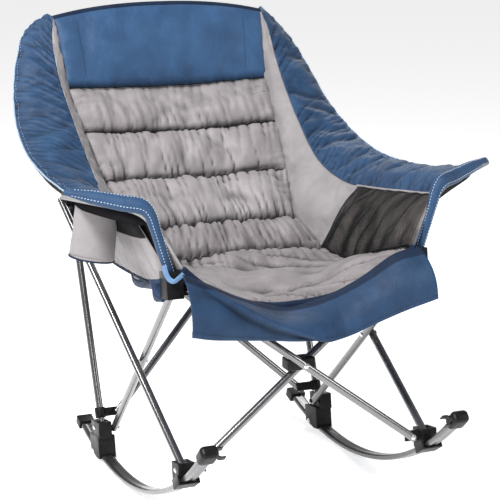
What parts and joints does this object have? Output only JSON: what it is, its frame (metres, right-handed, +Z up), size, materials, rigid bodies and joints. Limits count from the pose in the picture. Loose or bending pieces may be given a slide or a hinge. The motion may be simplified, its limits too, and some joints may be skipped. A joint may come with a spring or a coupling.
{
  "type": "folding camp rocking chair",
  "caption": "Folding camp rocking chair: crossed-tube frame on two curved rocker rails, with a padded sling seat, winged arms, a cup holder and a mesh side panel.",
  "frame": {"origin": "on the floor, under the middle of the bounding box", "axes": "+Z up, the sitter faces -Y, +X is the sitter's left"},
  "size_m": [0.963, 1.1053, 1.0015],
  "materials": {
    "gunmetal_paint": "gloss",
    "rail_grey": "satin",
    "rivet_steel": "satin",
    "black_plastic": "matte",
    "blue_fabric": "satin",
    "taupe_fabric": "matte",
    "black_mesh": "matte"
  },
  "bodies": {
    "rear_foot_right": {"rear_foot_right": "black_plastic", "rear_foot_rivet_right": "rivet_steel", "rail_rivet_right": "rivet_steel"},
    "rail_right": {"rocker_rail_right": "rail_grey", "front_saddle_right": "black_plastic", "rail_clip_right": "black_plastic", "rail_tail_cap_right": "black_plastic"},
    "post_right": {"back_post_right": "gunmetal_paint", "post_bracket_right": "black_plastic", "wing_right": "blue_fabric", "back_pad": "taupe_fabric", "headrest_pad": "blue_fabric"},
    "side_ring_right": {"side_ring_right": "black_plastic"},
    "cross_ring_right": {"cross_ring_right": "black_plastic"},
    "brace_right": {"seat_brace_right": "gunmetal_paint", "side_cross_rivet_right": "rivet_steel"},
    "strut_right": {"side_strut_right": "gunmetal_paint", "side_ring_rivet_right": "rivet_steel"},
    "front_foot_right": {"front_foot_right": "black_plastic", "front_foot_rivet_right": "rivet_steel"},
    "seat_joint_right": {"seat_joint_right": "black_plastic", "arm_post_right": "gunmetal_paint", "arm_panel_right": "taupe_fabric", "cup_holder": "taupe_fabric", "front_flap": "blue_fabric", "front_cross_seat_rivet_right": "rivet_steel"},
    "rear_foot_left": {"rear_foot_left": "black_plastic", "rear_foot_rivet_left": "rivet_steel", "rail_rivet_left": "rivet_steel"},
    "rail_left": {"rocker_rail_left": "rail_grey", "front_saddle_left": "black_plastic", "rail_clip_left": "black_plastic", "rail_tail_cap_left": "black_plastic"},
    "post_left": {"back_post_left": "gunmetal_paint", "post_bracket_left": "black_plastic", "wing_left": "blue_fabric"},
    "side_ring_left": {"side_ring_left": "black_plastic"},
    "cross_ring_left": {"cross_ring_left": "black_plastic"},
    "brace_left": {"seat_brace_left": "gunmetal_paint", "side_cross_rivet_left": "rivet_steel"},
    "strut_left": {"side_strut_left": "gunmetal_paint", "side_ring_rivet_left": "rivet_steel"},
    "front_foot_left": {"front_foot_left": "black_plastic", "front_foot_rivet_left": "rivet_steel"},
    "seat_joint_left": {"seat_joint_left": "black_plastic", "arm_post_left": "gunmetal_paint", "arm_panel_left": "black_mesh"},
    "seat_front": {"seat_pad_front": "taupe_fabric"},
    "seat_rear": {"seat_pad_rear": "taupe_fabric"},
    "rear_cross_right": {"rear_cross_right_foot": "gunmetal_paint", "rear_cross_rivet": "rivet_steel", "rear_cross_ring_rivet_left": "rivet_steel"},
    "rear_cross_left": {"rear_cross_left_foot": "gunmetal_paint", "rear_cross_ring_rivet_right": "rivet_steel"},
    "front_cross_left": {"front_cross_left_foot": "gunmetal_paint", "front_cross_rivet": "rivet_steel", "front_cross_foot_rivet_left": "rivet_steel"},
    "front_cross_right": {"front_cross_right_foot": "gunmetal_paint", "front_cross_foot_rivet_right": "rivet_steel", "front_cross_seat_rivet_left": "rivet_steel"}
  },
  "joints": [
    {"name": "fold", "type": "hinge", "parent": "rear_foot_right", "child": "brace_right", "pos_m": [-0.275, 0.12711, 0.07798], "axis": [-1, 0, 0], "range_deg": [0, 32.78], "deforming": ["seat_pad_front", "seat_pad_rear", "back_pad", "headrest_pad", "wing_left", "wing_right", "arm_panel_left", "arm_panel_right", "front_flap", "cup_holder"]},
    {"name": "right_side_cross", "type": "hinge", "parent": "brace_right", "child": "strut_right", "pos_m": [-0.275, -0.11676, 0.3077], "axis": [1, 0, 0], "range_deg": [0, 63.51]},
    {"name": "right_front_foot_hinge", "type": "hinge", "parent": "strut_right", "child": "front_foot_right", "pos_m": [-0.275, -0.39073, 0.15814], "axis": [-1, 0, 0], "range_deg": [0, 30.73]},
    {"name": "right_seat_joint_hinge", "type": "hinge", "parent": "brace_right", "child": "seat_joint_right", "pos_m": [-0.275, -0.33565, 0.5139], "axis": [1, 0, 0], "range_deg": [0, 32.79]},
    {"name": "right_rail_swing", "type": "hinge", "parent": "rear_foot_right", "child": "rail_right", "pos_m": [-0.275, 0.16189, 0.01599], "axis": [1, 0, 0], "range_deg": [0, 45]},
    {"name": "right_post_hinge", "type": "hinge", "parent": "rear_foot_right", "child": "post_right", "pos_m": [-0.275, 0.1528, 0.074], "axis": [1, 0, 0], "range_deg": [0, 10.64]},
    {"name": "right_side_ring_slide", "type": "slide", "parent": "post_right", "child": "side_ring_right", "axis": [0, 0.3859, 0.9225], "range_m": [0, 0.2788]},
    {"name": "right_cross_ring_slide", "type": "slide", "parent": "post_right", "child": "cross_ring_right", "axis": [0, 0.3859, 0.9225], "range_m": [0, 0.16866]},
    {"name": "rear_cross_right_hinge", "type": "hinge", "parent": "post_right", "child": "rear_cross_right", "pos_m": [-0.233, 0.16515, 0.10352], "axis": [0, -0.9225, 0.3859], "range_deg": [0, 29.43]},
    {"name": "rear_cross_middle", "type": "hinge", "parent": "rear_cross_right", "child": "rear_cross_left", "pos_m": [0, 0.25545, 0.3194], "axis": [0, 0.9225, -0.3859], "range_deg": [0, 58.85]},
    {"name": "rear_cross_left_hinge", "type": "hinge", "parent": "rear_cross_left", "child": "post_left", "pos_m": [0.233, 0.16515, 0.10352], "axis": [0, -0.9225, 0.3859], "range_deg": [0, 29.43]},
    {"name": "left_side_ring_slide", "type": "slide", "parent": "post_left", "child": "side_ring_left", "axis": [0, 0.3859, 0.9225], "range_m": [0, 0.2788]},
    {"name": "left_cross_ring_slide", "type": "slide", "parent": "post_left", "child": "cross_ring_left", "axis": [0, 0.3859, 0.9225], "range_m": [0, 0.16866]},
    {"name": "left_post_hinge", "type": "hinge", "parent": "post_left", "child": "rear_foot_left", "pos_m": [0.275, 0.1528, 0.074], "axis": [-1, 0, 0], "range_deg": [0, 10.64]},
    {"name": "left_brace_hinge", "type": "hinge", "parent": "rear_foot_left", "child": "brace_left", "pos_m": [0.275, 0.12711, 0.07798], "axis": [-1, 0, 0], "range_deg": [0, 32.79]},
    {"name": "left_side_cross", "type": "hinge", "parent": "brace_left", "child": "strut_left", "pos_m": [0.275, -0.11676, 0.3077], "axis": [1, 0, 0], "range_deg": [0, 63.51]},
    {"name": "left_front_foot_hinge", "type": "hinge", "parent": "strut_left", "child": "front_foot_left", "pos_m": [0.275, -0.39073, 0.15814], "axis": [-1, 0, 0], "range_deg": [0, 30.73]},
    {"name": "left_seat_joint_hinge", "type": "hinge", "parent": "brace_left", "child": "seat_joint_left", "pos_m": [0.275, -0.33565, 0.5139], "axis": [1, 0, 0], "range_deg": [0, 32.79]},
    {"name": "left_rail_swing", "type": "hinge", "parent": "rear_foot_left", "child": "rail_left", "pos_m": [0.275, 0.16189, 0.01599], "axis": [1, 0, 0], "range_deg": [0, 45]},
    {"name": "front_cross_seat_hinge", "type": "hinge", "parent": "seat_joint_right", "child": "front_cross_left", "pos_m": [-0.238, -0.33565, 0.5139], "axis": [0, 0.9882, -0.153], "range_deg": [0, 34.75]},
    {"name": "front_cross_middle", "type": "hinge", "parent": "front_cross_left", "child": "front_cross_right", "pos_m": [0, -0.36319, 0.33602], "axis": [0, -0.9882, 0.153], "range_deg": [0, 69.49]},
    {"name": "seat_rear_drop", "type": "hinge", "parent": "post_right", "child": "seat_rear", "pos_m": [0, 0.3828, 0.735], "axis": [1, 0, 0], "range_deg": [0, 46.01]},
    {"name": "seat_front_drop", "type": "hinge", "parent": "seat_joint_right", "child": "seat_front", "pos_m": [0, -0.2962, 0.452], "axis": [-1, 0, 0], "range_deg": [0, 72.01]}
  ],
  "couplings": [
    {"joint": "right_side_cross", "follows": "fold", "ratio": 1.937},
    {"joint": "right_front_foot_hinge", "follows": "fold", "ratio": 0.93699},
    {"joint": "right_seat_joint_hinge", "follows": "fold", "ratio": 1},
    {"joint": "right_post_hinge", "follows": "fold", "ratio": 0.32422},
    {"joint": "right_side_ring_slide", "follows": "fold", "m_per_rad": 0.48708},
    {"joint": "right_cross_ring_slide", "follows": "fold", "m_per_rad": 0.29459},
    {"joint": "rear_cross_right_hinge", "follows": "fold", "ratio": 0.89746},
    {"joint": "rear_cross_middle", "follows": "fold", "ratio": 1.7949},
    {"joint": "rear_cross_left_hinge", "follows": "fold", "ratio": 0.89746},
    {"joint": "left_side_ring_slide", "follows": "fold", "m_per_rad": 0.48708},
    {"joint": "left_cross_ring_slide", "follows": "fold", "m_per_rad": 0.29459},
    {"joint": "left_post_hinge", "follows": "fold", "ratio": 0.32422},
    {"joint": "left_brace_hinge", "follows": "fold", "ratio": 1},
    {"joint": "left_side_cross", "follows": "fold", "ratio": 1.937},
    {"joint": "left_front_foot_hinge", "follows": "fold", "ratio": 0.93699},
    {"joint": "left_seat_joint_hinge", "follows": "fold", "ratio": 1},
    {"joint": "front_cross_seat_hinge", "follows": "fold", "ratio": 1.0597},
    {"joint": "front_cross_middle", "follows": "fold", "ratio": 2.1194},
    {"joint": "seat_rear_drop", "follows": "fold", "ratio": 1.4031},
    {"joint": "seat_front_drop", "follows": "fold", "ratio": 2.1962}
  ]
}
